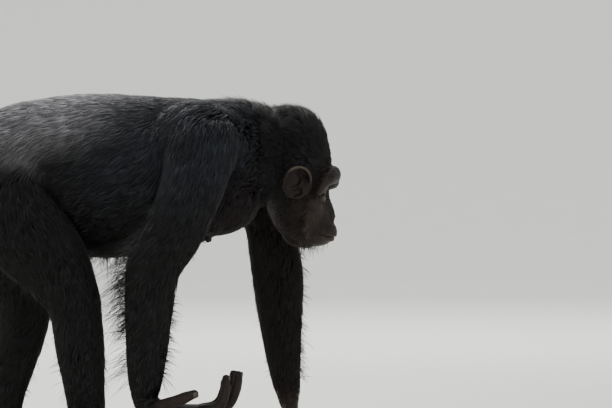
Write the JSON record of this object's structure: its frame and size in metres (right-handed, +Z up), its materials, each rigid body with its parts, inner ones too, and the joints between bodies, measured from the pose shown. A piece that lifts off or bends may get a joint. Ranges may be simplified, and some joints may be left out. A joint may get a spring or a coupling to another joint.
{
  "type": "chimpanzee",
  "caption": "Adult chimpanzee standing on all fours with its head bowed and one palm held out, as a still life-size model for display.",
  "frame": {"origin": "on the floor, under the middle of the animal's bounding box", "axes": "+X the way the animal faces, +Y its left side, +Z up from the floor it stands on"},
  "size_m": [0.879, 0.4796, 0.7817],
  "materials": {
    "coat_black": "long straight near-black hair, soft sheen",
    "coat_grey": "near-black hair greying over the loins and rump, soft sheen",
    "bare_skin": "creased dark brown skin, dull",
    "eye": "wet, glossy dark brown"
  },
  "bodies": {
    "root": {"belly": "coat_black", "chest": "coat_black", "ear_left": "bare_skin", "ear_right": "bare_skin", "eye_left": "eye", "eye_right": "eye", "foot_left": "bare_skin", "foot_right": "bare_skin", "forearm_left": "coat_black", "forearm_right": "coat_black", "hand_left": "bare_skin", "hand_right": "bare_skin", "head": "coat_black", "neck": "coat_black", "rump": "coat_grey", "shin_left": "coat_black", "shin_right": "coat_black", "thigh_left": "coat_black", "thigh_right": "coat_black", "upper_arm_left": "coat_black", "upper_arm_right": "coat_black"}
  },
  "joints": []
}
